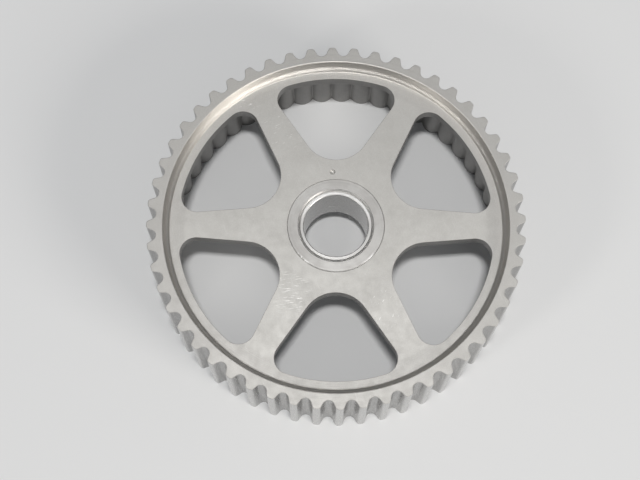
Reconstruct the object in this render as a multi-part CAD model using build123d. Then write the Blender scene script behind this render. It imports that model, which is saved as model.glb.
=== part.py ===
from build123d import *

import os
from math import cos, pi, radians, sin

# Timing belt pulley: a sintered toothed rim on a six-spoke web, a hub pressed into the web and a thin bush
# pressed into the hub. Millimetres, +Z up. The pulley lies on the back face of its rim: the origin is on the
# bore axis in that plane, +Z points out of the recessed front face, and one spoke runs along +X.

# Belt teeth: 5 mm pitch, curved grooves
TEETH = 52
BELT_PITCH = 5.0
PITCH_LINE_OFFSET = 0.5715  # the belt's cord runs this far outside the tooth tips
TIP_R = TEETH * BELT_PITCH / (2 * pi) - PITCH_LINE_OFFSET
TOOTH_PHASE = 1.2  # degrees from the +X spoke to the nearest tooth
GROOVE_DEPTH = 1.98
GROOVE_R = 1.25
FLANK_ANGLE = 27.0  # between a flank and the middle of its groove
TIP_FILLET = 0.62
TOOTH_EDGE_BREAK = 0.12

# Rim and the recess in its front face
WIDTH = 20.0
RECESS_R = 37.2
RECESS_DEPTH = 2.55
RECESS_EDGE_BREAK = 0.15
RECESS_DRAFT = 0.12  # how far the wall leans in over its height
RECESS_FOOT_R = 0.75
RECESS_STEP = 0.14  # small 45 degree step between the foot and the web

# Back of the rim, lightened between the teeth: one lobe of metal behind each groove
LOBE_R = 2.9
LOBE_TIP_R = 36.1
POCKET_R = 37.1

# Web and its six windows
WEB_THICKNESS = 2.65
SPOKES = 6
WINDOW_OUTER_R = 34.34
WINDOW_INNER_R = 15.07
WINDOW_HUB_FILLET = 7.48
WINDOW_CORNER_R = 3.5
SPOKE_TAPER = 4.68  # each side of a spoke, degrees
WINDOW_EDGE_BREAK = 0.06

# Timing mark: a small round dimple in the web
MARK_R = 12.25
MARK_ANGLE = 93.5
MARK_BALL_R = 0.65
MARK_DEPTH = 0.4

# Hub, pressed into the web from behind against its shoulder
HUB_R = 10.53
HUB_LENGTH = 12.7
SHOULDER_R = 12.2
SHOULDER_LENGTH = 2.0
HUB_JOINT_BREAK = 0.1  # chamfer each side of the joint line
HUB_END_CHAMFER = 0.5

# Bush, pressed into the hub
BUSH_R = 8.0
BORE_R = 7.0
BUSH_LENGTH = 12.0
BUSH_SET_BACK = 0.35  # its front end lies below the hub's face
BUSH_OUTER_CHAMFER = 0.3
BUSH_INNER_CHAMFER = 0.15
HUB_BORE_CHAMFER = 0.3

# Cutting solids run past what they cut by OVERRUN; a corner within ON_CIRCLE of a circle lies on it
OVERRUN = 1.0
ON_CIRCLE = 0.01

WEB_FRONT = WIDTH - RECESS_DEPTH
WEB_BACK = WEB_FRONT - WEB_THICKNESS
HUB_BACK = WEB_FRONT - HUB_LENGTH
BUSH_FRONT = WEB_FRONT - BUSH_SET_BACK
BUSH_BACK = BUSH_FRONT - BUSH_LENGTH
TOOTH_ANGLE = 360 / TEETH
SPOKE_ANGLE = 360 / SPOKES
HANGING = (Align.CENTER, Align.CENTER, Align.MAX)  # a primitive that hangs down from its own origin


def around(count, first_angle=0.0):
    """Rotations about the axis for `count` equal places."""
    return [Rot(0, 0, first_angle + 360 * k / count) for k in range(count)]


def flared_slot(bottom_x, bottom_r, half_angle, far_x):
    """Face with a round bottom at x = bottom_x and two straight sides, open at half_angle, up to x = far_x."""
    a = radians(half_angle)
    centre_x = bottom_x + bottom_r
    tangent = (centre_x - bottom_r * sin(a), bottom_r * cos(a))
    far_y = tangent[1] + (far_x - tangent[0]) * sin(a) / cos(a)
    outline = [
        ThreePointArc((tangent[0], -tangent[1]), (bottom_x, 0), tangent),
        Line(tangent, (far_x, far_y)),
        Line((far_x, far_y), (far_x, -far_y)),
        Line((far_x, -far_y), (tangent[0], -tangent[1])),
    ]
    return make_face(outline)


def toothed_outline():
    """Cross-section of the toothed rim, with rounded tooth tips."""
    groove = flared_slot(TIP_R - GROOVE_DEPTH, GROOVE_R, FLANK_ANGLE, TIP_R + OVERRUN)
    groove_angle = TOOTH_PHASE + TOOTH_ANGLE / 2
    outline = Circle(TIP_R) - [turn * groove for turn in around(TEETH, groove_angle)]
    corners = outline.vertices().filter_by(lambda v: (v.X**2 + v.Y**2) ** 0.5 > TIP_R - ON_CIRCLE)
    return fillet(corners, TIP_FILLET)


def toothed_blank():
    """The full width of the toothed rim as a solid disc, with its two end faces' edges broken."""
    blank = extrude(toothed_outline(), WIDTH)
    back_face, *_, front_face = blank.faces().sort_by(Axis.Z)
    return chamfer(back_face.edges() + front_face.edges(), TOOTH_EDGE_BREAK)


def front_recess():
    """Round recess over the web: a leaning wall, a rounded foot and a small step down to the web."""
    wall_foot_r = RECESS_R - RECESS_DRAFT
    foot_centre_z = WEB_FRONT + RECESS_STEP + RECESS_FOOT_R
    foot_centre_r = wall_foot_r - RECESS_FOOT_R
    foot_diagonal = RECESS_FOOT_R * sin(pi / 4)
    web_edge = (foot_centre_r - RECESS_STEP, WEB_FRONT)
    step_top = (foot_centre_r, WEB_FRONT + RECESS_STEP)
    foot_middle = (foot_centre_r + foot_diagonal, foot_centre_z - foot_diagonal)
    foot_end = (wall_foot_r, foot_centre_z)
    wall_top = (RECESS_R, WIDTH - RECESS_EDGE_BREAK)
    mouth = (RECESS_R + 2 * RECESS_EDGE_BREAK, WIDTH + RECESS_EDGE_BREAK)
    axis_top = (0, WIDTH + RECESS_EDGE_BREAK)
    axis_foot = (0, WEB_FRONT)
    profile = [
        Line(axis_foot, web_edge),
        Line(web_edge, step_top),
        ThreePointArc(step_top, foot_middle, foot_end),
        Line(foot_end, wall_top),
        Line(wall_top, mouth),
        Line(mouth, axis_top),
        Line(axis_top, axis_foot),
    ]
    return revolve(Plane.XZ * make_face(profile), Axis.Z)


def back_pocket():
    """Space behind the web. Its wall follows the teeth, with a lobe of metal behind each groove."""
    lobe = Pos(LOBE_TIP_R + LOBE_R, 0) * Circle(LOBE_R)
    lobe_angle = TOOTH_PHASE + TOOTH_ANGLE / 2
    pocket = Circle(POCKET_R) - [turn * lobe for turn in around(TEETH, lobe_angle)]
    return Pos(0, 0, -OVERRUN) * extrude(pocket, WEB_BACK + OVERRUN)


def window_outline():
    """One window between two tapering spokes: round next to the hub, with rounded corners at the rim."""
    half_angle = SPOKE_ANGLE / 2 + SPOKE_TAPER
    sector = flared_slot(WINDOW_INNER_R, WINDOW_HUB_FILLET, half_angle, WINDOW_OUTER_R + OVERRUN)
    outline = sector & Circle(WINDOW_OUTER_R)
    corners = outline.vertices().filter_by(lambda v: (v.X**2 + v.Y**2) ** 0.5 > WINDOW_OUTER_R - ON_CIRCLE)
    return fillet(corners, WINDOW_CORNER_R)


def window_cutter():
    """Window through the web, wider at the front face by the edge break."""
    outline = window_outline()
    through = Pos(0, 0, WEB_BACK - OVERRUN) * extrude(outline, WEB_THICKNESS + OVERRUN)
    mouth = Pos(0, 0, WEB_FRONT - WINDOW_EDGE_BREAK) * extrude(outline, WINDOW_EDGE_BREAK, taper=-45)
    return through + mouth


def timing_mark():
    """Ball that dips MARK_DEPTH into the web's front face."""
    angle = radians(MARK_ANGLE)
    centre_z = WEB_FRONT + MARK_BALL_R - MARK_DEPTH
    return Pos(MARK_R * cos(angle), MARK_R * sin(angle), centre_z) * Sphere(MARK_BALL_R)


def hub_seat():
    """Hole in the web for the hub, with its front edge broken."""
    hole = Cylinder(HUB_R, WEB_THICKNESS + 2 * OVERRUN, align=HANGING)
    mouth = Cone(HUB_R, HUB_R + HUB_JOINT_BREAK, HUB_JOINT_BREAK, align=HANGING)
    return Pos(0, 0, WEB_FRONT + OVERRUN) * hole + Pos(0, 0, WEB_FRONT) * mouth


def pulley_body():
    """Toothed rim, web and spokes, pressed and sintered in one piece."""
    body = toothed_blank() - front_recess() - back_pocket() - hub_seat() - timing_mark()
    return body - [turn * window_cutter() for turn in around(SPOKES, SPOKE_ANGLE / 2)]


def turned(profile_points):
    """Solid turned about the axis from a closed outline of (radius, height) points."""
    points = profile_points + [profile_points[0]]
    sides = [Line(a, b) for a, b in zip(points, points[1:])]
    return revolve(Plane.XZ * make_face(sides), Axis.Z)


def hub():
    """Thick sleeve with a shoulder that bears on the back of the web."""
    shoulder_back = WEB_BACK - SHOULDER_LENGTH
    return turned([
        (BUSH_R, HUB_BACK + HUB_BORE_CHAMFER),
        (BUSH_R + HUB_BORE_CHAMFER, HUB_BACK),
        (HUB_R - HUB_END_CHAMFER, HUB_BACK),
        (HUB_R, HUB_BACK + HUB_END_CHAMFER),
        (HUB_R, shoulder_back),
        (SHOULDER_R - HUB_END_CHAMFER, shoulder_back),
        (SHOULDER_R, shoulder_back + HUB_END_CHAMFER),
        (SHOULDER_R, WEB_BACK),
        (HUB_R, WEB_BACK),
        (HUB_R, WEB_FRONT - HUB_JOINT_BREAK),
        (HUB_R - HUB_JOINT_BREAK, WEB_FRONT),
        (BUSH_R + HUB_BORE_CHAMFER, WEB_FRONT),
        (BUSH_R, WEB_FRONT - HUB_BORE_CHAMFER),
    ])


def bore_bush():
    """Thin steel bush that the shaft runs in."""
    return turned([
        (BORE_R, BUSH_BACK + BUSH_INNER_CHAMFER),
        (BORE_R + BUSH_INNER_CHAMFER, BUSH_BACK),
        (BUSH_R - BUSH_OUTER_CHAMFER, BUSH_BACK),
        (BUSH_R, BUSH_BACK + BUSH_OUTER_CHAMFER),
        (BUSH_R, BUSH_FRONT - BUSH_OUTER_CHAMFER),
        (BUSH_R - BUSH_OUTER_CHAMFER, BUSH_FRONT),
        (BORE_R + BUSH_INNER_CHAMFER, BUSH_FRONT),
        (BORE_R, BUSH_FRONT - BUSH_INNER_CHAMFER),
    ])


os.makedirs("parts", exist_ok=True)
PARTS = {"pulley_body": pulley_body(), "hub": hub(), "bore_bush": bore_bush()}
for node, part in PARTS.items():
    part.label = node
    export_step(part, f"parts/{node}.step")
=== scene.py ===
import math

import bpy
from mathutils import Matrix, Vector


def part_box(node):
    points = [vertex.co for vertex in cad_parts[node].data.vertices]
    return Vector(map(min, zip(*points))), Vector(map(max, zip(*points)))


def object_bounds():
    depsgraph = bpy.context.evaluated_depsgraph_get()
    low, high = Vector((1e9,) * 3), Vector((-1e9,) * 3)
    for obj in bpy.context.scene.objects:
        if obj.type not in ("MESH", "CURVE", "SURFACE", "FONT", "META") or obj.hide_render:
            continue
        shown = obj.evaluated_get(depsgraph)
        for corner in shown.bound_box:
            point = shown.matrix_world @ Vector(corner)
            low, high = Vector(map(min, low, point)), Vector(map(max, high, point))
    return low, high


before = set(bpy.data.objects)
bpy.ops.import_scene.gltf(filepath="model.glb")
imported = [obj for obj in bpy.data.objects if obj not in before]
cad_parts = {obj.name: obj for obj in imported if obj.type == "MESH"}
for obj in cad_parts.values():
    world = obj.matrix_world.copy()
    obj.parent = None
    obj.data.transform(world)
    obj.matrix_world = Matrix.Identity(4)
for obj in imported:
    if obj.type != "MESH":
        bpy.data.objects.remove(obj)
cad_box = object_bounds()

# ----------------------------------------------------------------------------------------------------------
# Pulley body: toothed rim, thin web and six spokes in one piece of iron powder, pressed in a die, sintered
# and sized. The die leaves fine draw lines along the teeth. The recess in the front face is turned
# afterwards, and the whole piece is tumbled to a satin grey with faint clouds and the odd scratch.
MILLIMETRE = 0.001
TIP_R = cad_box[1][0]
ROOT_R = TIP_R - 1.98 * MILLIMETRE
HUB_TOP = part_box("hub")[1][2]
RECESS_R = 0.0372
RECESS_FOOT_R = 0.0362  # the small step down to the web lies just inside it
FACED_R = 0.0328  # the faces outside it carry faint rings of the facing tool
BAND_SLOPE = 0.95  # rise over run of the direction that the turned band faces
TIMING_MARK = (-0.00075, 0.01223, HUB_TOP - 0.0002)
MARK_R = 0.65 * MILLIMETRE
EDGE_ROUND = 0.06 * MILLIMETRE
LEVEL_TILT = (0.85, 0.97)
UPRIGHT_TILT = (0.35, 0.15)

SINTERED_GREY = (0.572, 0.563, 0.543, 1.0)
SINTERED_CLOUD = (0.537, 0.528, 0.508, 1.0)
FACED_GREY = (0.51, 0.50, 0.483, 1.0)
PORE_GREY = (0.40, 0.385, 0.37, 1.0)
RUBBED_STEEL = (0.74, 0.735, 0.725, 1.0)
SCRATCH_BRIGHT = (0.90, 0.895, 0.885, 1.0)
DIMPLE_GREY = (0.63, 0.62, 0.60, 1.0)
TURNED_STEEL = (0.72, 0.685, 0.64, 1.0)
WALL_PAINTED_SHADE = (0.30, 0.296, 0.292, 1.0)
HOLLOW_PAINTED_SHADE = (0.34, 0.33, 0.315, 1.0)

# Patches of fine scratches on the web: centre, radius of the patch, direction in radians, spacing and length
# of the scratches, share of the patch that they cover
SCRATCH_PATCHES = (
    ((-0.0098, -0.0152, HUB_TOP), 6.0 * MILLIMETRE, 0.12, 0.18 * MILLIMETRE, 2.2 * MILLIMETRE, 0.38),
    ((-0.0125, 0.0225, HUB_TOP), 7.0 * MILLIMETRE, 0.5, 0.2 * MILLIMETRE, 1.6 * MILLIMETRE, 0.32),
    ((0.0105, -0.019, HUB_TOP), 6.0 * MILLIMETRE, 1.0, 0.2 * MILLIMETRE, 1.2 * MILLIMETRE, 0.32),
    ((-0.0196, 0.0273, HUB_TOP), 3.5 * MILLIMETRE, 0.2, 0.2 * MILLIMETRE, 1.4 * MILLIMETRE, 0.34),
)


def step(tree, kind, *inputs, **settings):
    """Adds one node. inputs fill its sockets in order, or by name in a dict; settings are its properties."""
    made = tree.nodes.new(kind)
    for name, value in settings.items():
        setattr(made, name, value)
    named = inputs[0] if inputs and isinstance(inputs[0], dict) else dict(enumerate(inputs))
    for place, value in named.items():
        if isinstance(value, bpy.types.NodeSocket):
            tree.links.new(value, made.inputs[place])
        elif value is not None:
            made.inputs[place].default_value = value
    return made


def maths(tree, operation, *values):
    """One arithmetic step on numbers; returns its result."""
    return step(tree, "ShaderNodeMath", *values, operation=operation).outputs[0]


def times(tree, first, second):
    """Product of two numbers."""
    return maths(tree, "MULTIPLY", first, second)


def without(tree, share):
    """What is left of 1 when share is taken away."""
    return maths(tree, "SUBTRACT", 1.0, share)


def vector_maths(tree, operation, *values):
    """One arithmetic step on vectors; returns its result."""
    return step(tree, "ShaderNodeVectorMath", *values, operation=operation).outputs["Vector"]


def scaled(tree, vector, amount):
    """Vector times a number."""
    made = step(tree, "ShaderNodeVectorMath", {"Vector": vector, "Scale": amount}, operation="SCALE")
    return made.outputs["Vector"]


def away_from(tree, place, centre):
    """Distance of place from centre."""
    return step(tree, "ShaderNodeVectorMath", place, centre, operation="DISTANCE").outputs["Value"]


def fade(tree, value, start, end, low=0.0, high=1.0):
    """Rises smoothly from low to high while value goes from start to end."""
    made = step(tree, "ShaderNodeMapRange", value, start, end, low, high, interpolation_type="SMOOTHSTEP")
    return made.outputs[0]


def blend(tree, share, first, second):
    """Colour or number between first (share 0) and second (share 1)."""
    if isinstance(first, tuple) or isinstance(second, tuple) or getattr(first, "type", "") == "RGBA":
        made = step(tree, "ShaderNodeMix", {0: share, 6: first, 7: second}, data_type="RGBA")
        return made.outputs[2]
    return step(tree, "ShaderNodeMix", {0: share, 2: first, 3: second}, data_type="FLOAT").outputs[0]


def grain(tree, place, size, detail=2.0, rough=0.5, stretch=None, turn=0.0):
    """Cloudy pattern whose lumps measure about size metres.

    stretch draws it out along x, y or z, before turn turns it about z.
    """
    if stretch is not None:
        drawn_out = {"Vector": place, "Rotation": (0.0, 0.0, turn), "Scale": stretch}
        place = step(tree, "ShaderNodeMapping", drawn_out, vector_type="TEXTURE").outputs[0]
    pattern = {"Vector": place, "Scale": 1.0 / size, "Detail": detail, "Roughness": rough}
    return step(tree, "ShaderNodeTexNoise", pattern).outputs[0]


def turned_rings(tree, at, pitch):
    """Tool marks of a lathe: lumps in one dimension, along radius plus height, that ring flats and walls."""
    along = times(tree, maths(tree, "ADD", at["radius"], at["z"]), 1.0 / pitch)
    pattern = {"W": along, "Scale": 1.0, "Detail": 2.0, "Roughness": 0.6}
    return step(tree, "ShaderNodeTexNoise", pattern, noise_dimensions="1D").outputs[0]


def new_finish(name):
    """Empty material with a metal shader.

    Returns the material, its tree, its shader, and where a point lies: its place, that place's x, y, z and
    radius, and the tilt of its face, which is 1 on a level face and 0 on an upright wall.
    """
    material = bpy.data.materials.new(name)
    material.use_nodes = True
    tree = material.node_tree
    tree.nodes.clear()
    shader = tree.nodes.new("ShaderNodeBsdfPrincipled")
    output = tree.nodes.new("ShaderNodeOutputMaterial")
    tree.links.new(shader.outputs[0], output.inputs[0])
    shader.inputs["Metallic"].default_value = 1.0
    place = step(tree, "ShaderNodeTexCoord").outputs["Object"]
    x, y, z = step(tree, "ShaderNodeSeparateXYZ", place).outputs
    flat = step(tree, "ShaderNodeCombineXYZ", x, y, 0.0).outputs[0]
    radius = step(tree, "ShaderNodeVectorMath", flat, operation="LENGTH").outputs["Value"]
    facing = step(tree, "ShaderNodeSeparateXYZ", step(tree, "ShaderNodeNewGeometry").outputs["True Normal"])
    tilt = maths(tree, "ABSOLUTE", facing.outputs[2])
    return material, tree, shader, {"place": place, "x": x, "y": y, "z": z, "radius": radius, "tilt": tilt}


def rounded_edges(tree, radius):
    """Normal that runs smoothly over every edge, as if the edge were rounded by radius."""
    return step(tree, "ShaderNodeBevel", radius, samples=4).outputs[0]


def rolled_in(tree, normal, at, share):
    """Normal drawn towards the axis and up: normal + inward * share, where inward rises at BAND_SLOPE.

    The form tool rolls the wall, its foot and the small step into one soft band that shines as one surface.
    """
    inward_x = times(tree, at["x"], -1.0)
    inward_y = times(tree, at["y"], -1.0)
    inward_z = times(tree, at["radius"], BAND_SLOPE)
    inward = step(tree, "ShaderNodeCombineXYZ", inward_x, inward_y, inward_z).outputs[0]
    drawn = scaled(tree, vector_maths(tree, "NORMALIZE", inward), share)
    return vector_maths(tree, "NORMALIZE", vector_maths(tree, "ADD", normal, drawn))


def combed(tree, normal, at, marks, lean):
    """Normal leant to and fro across the ridges of a lathe tool: normal + across * (marks - 0.5) * lean.

    across lies in the surface, at right angles to the ridges, so a highlight is drawn out across them.
    """
    backwards = times(tree, at["y"], -1.0)
    ridge = step(tree, "ShaderNodeCombineXYZ", backwards, at["x"], 0.0).outputs[0]
    across = vector_maths(tree, "CROSS_PRODUCT", normal, vector_maths(tree, "NORMALIZE", ridge))
    amount = times(tree, maths(tree, "SUBTRACT", marks, 0.5), lean)
    return vector_maths(tree, "NORMALIZE", vector_maths(tree, "ADD", normal, scaled(tree, across, amount)))


def raised(tree, shader, normal, height, distance, strength):
    """Fine relief on top of normal: height times distance."""
    relief = {"Strength": strength, "Distance": distance, "Height": height, "Normal": normal}
    tree.links.new(step(tree, "ShaderNodeBump", relief).outputs[0], shader.inputs["Normal"])


def scratches(tree, place, centre, reach, direction, spacing, length, share):
    """Fine parallel scratches in a round patch: a cloudy pattern drawn out one way and cut to its peaks."""
    lines = grain(tree, place, spacing, 1.0, 0.4, (length / spacing, 1.0, 1.0), direction)
    peaks = fade(tree, lines, 1.0 - share, 1.06 - share)
    return times(tree, peaks, fade(tree, away_from(tree, place, centre), reach, 0.4 * reach))


def recess_band(tree, at):
    """Share 1 on the turned band of the recess: its wall, foot and small step, above the web."""
    inside_wall = fade(tree, at["radius"], RECESS_R + 0.3 * MILLIMETRE, RECESS_R + 0.1 * MILLIMETRE)
    step_r = RECESS_FOOT_R - 0.1 * MILLIMETRE
    outside_step = fade(tree, at["radius"], step_r - 0.2 * MILLIMETRE, step_r)
    above_web = fade(tree, at["z"], HUB_TOP - 0.2 * MILLIMETRE, HUB_TOP - 0.1 * MILLIMETRE)
    return times(tree, times(tree, inside_wall, outside_step), above_web)


def back_hollow(tree, at):
    """Share 1 behind the web, on the inner side of the rim, where shade is painted."""
    behind = fade(tree, at["z"], HUB_TOP - 1.0 * MILLIMETRE, HUB_TOP - 2.0 * MILLIMETRE)
    inner_side = fade(tree, at["radius"], ROOT_R - 0.2 * MILLIMETRE, ROOT_R - 0.6 * MILLIMETRE)
    return times(tree, behind, inner_side)


def handling_marks(tree, at, face):
    """Faint hairlines all over the faces, and the patches of scratches on the web."""
    hairs = grain(tree, at["place"], 0.15 * MILLIMETRE, 1.0, 0.4, (30.0, 1.0, 1.0), 1.9)
    marks = times(tree, times(tree, fade(tree, hairs, 0.71, 0.76), face), 0.22)
    for patch in SCRATCH_PATCHES:
        marks = maths(tree, "MAXIMUM", marks, scratches(tree, at["place"], *patch))
    return marks


def timing_dimple(tree, at):
    """Share 1 in the small dimple of the timing mark."""
    offset = away_from(tree, at["place"], TIMING_MARK)
    near = fade(tree, offset, MARK_R + 0.15 * MILLIMETRE, MARK_R)
    return times(tree, near, fade(tree, at["z"], HUB_TOP - 0.01 * MILLIMETRE, HUB_TOP - 0.04 * MILLIMETRE))


def sintered_steel():
    """Pressed and sized iron powder, tumbled to a satin."""
    material, tree, shader, at = new_finish("sintered_steel")
    face = fade(tree, at["tilt"], *LEVEL_TILT)
    upright = fade(tree, at["tilt"], *UPRIGHT_TILT)
    slanting = without(tree, maths(tree, "MAXIMUM", face, upright))
    turned = recess_band(tree, at)
    as_pressed = without(tree, turned)
    wall = times(tree, upright, as_pressed)
    broken_edge = times(tree, slanting, as_pressed)
    faced_ring = times(tree, face,
                       fade(tree, at["radius"], FACED_R - 0.5 * MILLIMETRE, FACED_R + 0.5 * MILLIMETRE))
    hollow = back_hollow(tree, at)
    belt_side = fade(tree, at["radius"], ROOT_R - 0.2 * MILLIMETRE, ROOT_R - 0.05 * MILLIMETRE)
    rubbed_tips = times(tree, fade(tree, at["radius"], TIP_R - 0.5 * MILLIMETRE, TIP_R), wall)
    marks = handling_marks(tree, at, face)
    dimple = timing_dimple(tree, at)

    clouds = grain(tree, at["place"], 9.0 * MILLIMETRE, 4.0, 0.6)
    blotches = grain(tree, at["place"], 1.6 * MILLIMETRE, 3.0, 0.55)
    powder = grain(tree, at["place"], 0.22 * MILLIMETRE, 2.0, 0.6)
    draw_lines = grain(tree, at["place"], 0.14 * MILLIMETRE, 2.0, 0.55, (1.0, 1.0, 40.0))
    rings = turned_rings(tree, at, 0.09 * MILLIMETRE)
    cells = step(tree, "ShaderNodeTexVoronoi", {"Vector": at["place"], "Scale": 1.0 / (0.55 * MILLIMETRE)})
    pores = times(tree, fade(tree, cells.outputs["Distance"], 0.16, 0.07), fade(tree, blotches, 0.45, 0.62))

    colour = blend(tree, fade(tree, clouds, 0.25, 0.75), SINTERED_CLOUD, SINTERED_GREY)
    colour = blend(tree, times(tree, faced_ring, 0.7), colour, FACED_GREY)
    colour = blend(tree, times(tree, fade(tree, powder, 0.35, 0.75), 0.22), colour, RUBBED_STEEL)
    colour = blend(tree, times(tree, pores, 0.55), colour, PORE_GREY)
    colour = blend(tree, times(tree, turned, fade(tree, rings, 0.4, 0.6, 0.45, 1.0)), colour, TURNED_STEEL)
    # Painted shade: darker behind the web on the inner side of the rim, where shade falls.
    colour = blend(tree, times(tree, hollow, fade(tree, clouds, 0.3, 0.7, 0.35, 0.8)), colour, HOLLOW_PAINTED_SHADE)
    # Painted shade: upright walls darker, standing in for the dim reflection they carry, streaked along the
    # draw lines.
    colour = blend(tree, times(tree, wall, fade(tree, draw_lines, 0.3, 0.7, 0.78, 0.92)), colour, WALL_PAINTED_SHADE)
    rubbed = maths(tree, "MAXIMUM", broken_edge, rubbed_tips)
    colour = blend(tree, times(tree, rubbed, 0.6), colour, RUBBED_STEEL)
    colour = blend(tree, times(tree, marks, 0.55), colour, SCRATCH_BRIGHT)
    colour = blend(tree, dimple, colour, DIMPLE_GREY)
    tree.links.new(colour, shader.inputs["Base Color"])

    gloss = fade(tree, clouds, 0.2, 0.8, 0.60, 0.55)
    gloss = maths(tree, "ADD", gloss, fade(tree, blotches, 0.3, 0.7, 0.03, -0.03))
    gloss = blend(tree, turned, gloss, fade(tree, rings, 0.3, 0.7, 0.36, 0.46))
    gloss = blend(tree, times(tree, belt_side, wall), gloss, fade(tree, draw_lines, 0.3, 0.7, 0.24, 0.31))
    gloss = blend(tree, broken_edge, gloss, 0.78)
    gloss = blend(tree, marks, gloss, 0.42)
    gloss = blend(tree, dimple, gloss, 0.50)
    tree.links.new(gloss, shader.inputs["Roughness"])

    height = maths(tree, "SUBTRACT", times(tree, powder, 0.5), times(tree, pores, 0.9))
    height = blend(tree, wall, height, times(tree, draw_lines, 0.10))
    height = blend(tree, turned, height, times(tree, rings, 0.8))
    height = maths(tree, "SUBTRACT", height, times(tree, marks, 0.8))
    height = times(tree, height, without(tree, dimple))
    lean = maths(tree, "ADD", times(tree, turned, 1.1), times(tree, faced_ring, 0.25))
    normal = rolled_in(tree, rounded_edges(tree, EDGE_ROUND), at, times(tree, turned, 2.2))
    normal = combed(tree, normal, at, fade(tree, rings, 0.3, 0.7), lean)
    raised(tree, shader, normal, height, 0.02 * MILLIMETRE, 0.55)
    return material


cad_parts["pulley_body"].data.materials[0] = sintered_steel()

# ----------------------------------------------------------------------------------------------------------
# Hub: a thick sleeve turned from bar steel and pressed into the web from behind, up to its shoulder. Its
# front end is faced off flush with the web, which leaves fine concentric marks and a hair-fine joint line.
HUB_R = 0.01053
BUSH_SEAT_R = 0.008
HUB_GREY = (0.53, 0.523, 0.51, 1.0)
HUB_SHADE = (0.47, 0.46, 0.448, 1.0)
JOINT_DIRT = (0.16, 0.145, 0.13, 1.0)
JOINT_GLINT_PLACES = ((-0.0072, -0.0077, HUB_TOP), (0.0072, -0.0077, HUB_TOP))


def joint_painted_glints(tree, at):
    """Share of painted highlight on the joint line: two short, ragged glints at lower left and lower right.
    """
    stretch = 0.0
    for centre in JOINT_GLINT_PLACES:
        near = fade(tree, away_from(tree, at["place"], centre), 2.2 * MILLIMETRE, 0.8 * MILLIMETRE)
        stretch = maths(tree, "MAXIMUM", stretch, near)
    ragged = fade(tree, grain(tree, at["place"], 0.9 * MILLIMETRE, 2.0, 0.5), 0.3, 0.55)
    at_rim = fade(tree, at["radius"], HUB_R - 0.5 * MILLIMETRE, HUB_R - 0.15 * MILLIMETRE)
    return times(tree, at_rim, times(tree, stretch, ragged))


def faced_steel():
    """Bar steel with the marks of the facing tool on its ends and of the turning tool round its outside."""
    material, tree, shader, at = new_finish("hub_steel")
    rings = turned_rings(tree, at, 0.07 * MILLIMETRE)
    coarse_rings = turned_rings(tree, at, 0.45 * MILLIMETRE)
    clouds = grain(tree, at["place"], 4.0 * MILLIMETRE, 4.0, 0.6)
    grit = grain(tree, at["place"], 0.18 * MILLIMETRE, 2.0, 0.6)
    front = fade(tree, at["z"], HUB_TOP - 0.12 * MILLIMETRE, HUB_TOP - 0.04 * MILLIMETRE)
    below_front = without(tree, front)
    rim = fade(tree, at["radius"], HUB_R - 0.11 * MILLIMETRE, HUB_R - 0.05 * MILLIMETRE)
    joint = times(tree, below_front, rim)
    bore_edge = fade(tree, at["radius"], BUSH_SEAT_R + 0.4 * MILLIMETRE, BUSH_SEAT_R + 0.3 * MILLIMETRE)
    seat_edge_painted_light = times(tree, below_front, bore_edge)

    colour = blend(tree, fade(tree, clouds, 0.35, 0.65), HUB_SHADE, HUB_GREY)
    colour = blend(tree, times(tree, fade(tree, rings, 0.4, 0.7), 0.25), colour, RUBBED_STEEL)
    colour = blend(tree, times(tree, fade(tree, grit, 0.3, 0.8), 0.15), colour, HUB_SHADE)
    colour = blend(tree, times(tree, joint, 0.5), colour, JOINT_DIRT)
    # Painted light: the chamfer at the bush seat lightened, lifting the shade in the groove between hub and
    # bush.
    colour = blend(tree, times(tree, seat_edge_painted_light, 0.9), colour, RUBBED_STEEL)
    # Painted highlight: bright glints over the joint line at lower left and lower right.
    colour = blend(tree, joint_painted_glints(tree, at), colour, SCRATCH_BRIGHT)
    tree.links.new(colour, shader.inputs["Base Color"])

    gloss = fade(tree, clouds, 0.3, 0.7, 0.56, 0.46)
    gloss = maths(tree, "ADD", gloss, fade(tree, coarse_rings, 0.3, 0.7, 0.04, -0.04))
    tree.links.new(gloss, shader.inputs["Roughness"])

    height = maths(tree, "ADD", rings, times(tree, grit, 0.5))
    normal = combed(tree, rounded_edges(tree, 0.08 * MILLIMETRE), at, rings, 0.35)
    raised(tree, shader, normal, height, 0.015 * MILLIMETRE, 0.5)
    return material


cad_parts["hub"].data.materials[0] = faced_steel()

# ----------------------------------------------------------------------------------------------------------
# Bush: a thin ring of hard steel pressed into the hub. Its bore is honed, so fine lines cross on it, and its
# end is ground bright, a little below the hub's face, with a painted highlight on its far side.
BORE_R = 0.007
HONING_SLANTS = (0.55, -0.55)
BRIGHT_STEEL = (0.90, 0.895, 0.885, 1.0)
DULL_STEEL = (0.62, 0.615, 0.605, 1.0)
BORE_STEEL = (0.46, 0.455, 0.45, 1.0)
HONE_SHADE = (0.36, 0.355, 0.35, 1.0)


def honing_lines(tree, at):
    """Mean of two sets of lines round the bore that climb at opposite slants."""
    turn = times(tree, maths(tree, "ARCTAN2", at["y"], at["x"]), BORE_R)
    sets = []
    for slant in HONING_SLANTS:
        across = maths(tree, "ADD", turn, times(tree, at["z"], slant))
        along = times(tree, at["z"], 0.03)
        sheet = step(tree, "ShaderNodeCombineXYZ", across, along, 0.0).outputs[0]
        sets.append(grain(tree, sheet, 0.12 * MILLIMETRE, 2.0, 0.6))
    return times(tree, maths(tree, "ADD", sets[0], sets[1]), 0.5)


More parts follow.
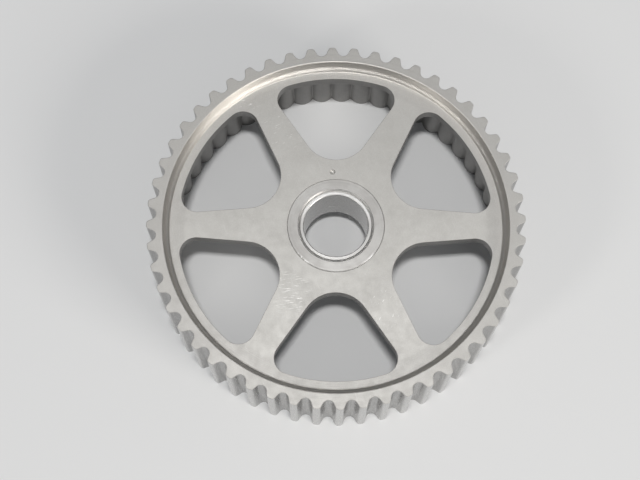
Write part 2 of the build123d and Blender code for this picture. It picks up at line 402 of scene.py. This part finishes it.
def honed_steel():
    """Hard steel: ground ends with a painted highlight on their far side, and a honed bore with lines
    crossing at a slant.
    """
    material, tree, shader, at = new_finish("bush_steel")
    end = fade(tree, at["tilt"], 0.4, 0.6)
    honing = honing_lines(tree, at)
    rings = turned_rings(tree, at, 0.06 * MILLIMETRE)
    clouds = grain(tree, at["place"], 3.0 * MILLIMETRE, 3.0, 0.5)
    painted_far_highlight = fade(tree, at["y"], -0.2 * BORE_R, 0.6 * BORE_R)
    painted_highlight_and_clouds = maths(tree, "ADD", painted_far_highlight, fade(tree, clouds, 0.4, 0.7, -0.2, 0.2))

    colour = blend(tree, fade(tree, honing, 0.4, 0.6), HONE_SHADE, BORE_STEEL)
    # Painted highlight: the ground end brighter on the far side, varied by clouds.
    colour = blend(tree, end, colour, blend(tree, painted_highlight_and_clouds, DULL_STEEL, BRIGHT_STEEL))
    colour = blend(tree, times(tree, fade(tree, clouds, 0.5, 0.75), 0.2), colour, HONE_SHADE)
    tree.links.new(colour, shader.inputs["Base Color"])

    bore_gloss = fade(tree, honing, 0.4, 0.6, 0.16, 0.28)
    end_gloss = fade(tree, rings, 0.3, 0.7, 0.36, 0.48)
    tree.links.new(blend(tree, end, bore_gloss, end_gloss), shader.inputs["Roughness"])

    height = blend(tree, end, honing, rings)
    normal = combed(tree, rounded_edges(tree, EDGE_ROUND), at, rings, times(tree, end, 0.5))
    raised(tree, shader, normal, height, 0.01 * MILLIMETRE, 0.5)
    return material


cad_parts["bore_bush"].data.materials[0] = honed_steel()

# ----------------------------------------------------------------------------------------------------------
# Stage: a plain pale floor under the rim, a lamp nearly overhead, a little on the viewer's side, a broad soft
# one low on the right and a small one low on the left, in a faint cool surrounding light.
FLOOR_HALF = 3.0
FLOOR_PALE = (0.80, 0.808, 0.82, 1.0)
SURROUNDING_TINT = (0.93, 0.96, 1.0, 1.0)
SURROUNDING_LIGHT = 0.18

floor_mesh = bpy.data.meshes.new("floor")
floor_corners = [(-FLOOR_HALF, -FLOOR_HALF, 0.0), (FLOOR_HALF, -FLOOR_HALF, 0.0),
                 (FLOOR_HALF, FLOOR_HALF, 0.0), (-FLOOR_HALF, FLOOR_HALF, 0.0)]
floor_mesh.from_pydata(floor_corners, [], [(0, 1, 2, 3)])
floor = bpy.data.objects.new("floor", floor_mesh)
bpy.context.scene.collection.objects.link(floor)
floor_paint = bpy.data.materials.new("pale_floor")
floor_paint.use_nodes = True
floor_shader = floor_paint.node_tree.nodes["Principled BSDF"]
floor_shader.inputs["Base Color"].default_value = FLOOR_PALE
floor_shader.inputs["Roughness"].default_value = 0.75
floor_shader.inputs["Specular IOR Level"].default_value = 0.2
floor_mesh.materials.append(floor_paint)


def lamp(name, direction, distance, width, depth, watts, tint):
    """Rectangular lamp at that distance along direction from the hub, turned to shine on it."""
    light = bpy.data.lights.new(name, "AREA")
    light.shape = "RECTANGLE"
    light.size = width
    light.size_y = depth
    light.energy = watts
    light.color = tint
    made = bpy.data.objects.new(name, light)
    towards = Vector(direction).normalized()
    made.location = Vector((0.0, 0.0, HUB_TOP)) + towards * distance
    made.rotation_mode = "QUATERNION"
    made.rotation_quaternion = (-towards).to_track_quat("-Z", "Y")
    bpy.context.scene.collection.objects.link(made)


lamp("overhead", direction=(-0.006, -0.11, 1.0), distance=1.2, width=0.16, depth=0.09, watts=7.0,
     tint=(1.0, 0.99, 0.97))
lamp("right_soft", direction=(0.70, -0.57, 0.42), distance=1.0, width=0.40, depth=0.30, watts=3.9,
     tint=(1.0, 0.96, 0.90))
lamp("left_small", direction=(-0.66, -0.56, 0.50), distance=1.0, width=0.14, depth=0.20, watts=1.2,
     tint=(1.0, 0.97, 0.92))

world = bpy.data.worlds.new("studio")
world.use_nodes = True
background = world.node_tree.nodes["Background"]
background.inputs["Color"].default_value = SURROUNDING_TINT
background.inputs["Strength"].default_value = SURROUNDING_LIGHT
bpy.context.scene.world = world
bpy.context.scene.view_settings.view_transform = "Standard"

# ----------------------------------------------------------------------------------------------------------
# Camera: on the near side of the pulley, 17 degrees off straight down, about 0.3 m from it, with a longish
# lens, so the near teeth show a little of their flanks and the far wall of the rim shows through the windows.
EYE = Vector((-0.00408, -0.09052, 0.30263))
AIM = Vector((-0.00344, -0.00418, 0.02))
ROLL = math.radians(0.67)
LENS = 77.7
SENSOR_WIDTH = 36.0

camera_data = bpy.data.cameras.new("camera")
camera_data.lens = LENS
camera_data.sensor_width = SENSOR_WIDTH
camera_data.clip_start = 0.01
camera = bpy.data.objects.new("camera", camera_data)
bpy.context.scene.collection.objects.link(camera)
looking = (AIM - EYE).normalized().to_track_quat("-Z", "Y").to_matrix()
camera.rotation_mode = "QUATERNION"
camera.rotation_quaternion = (looking @ Matrix.Rotation(ROLL, 3, "Z")).to_quaternion()
camera.location = EYE
bpy.context.scene.camera = camera
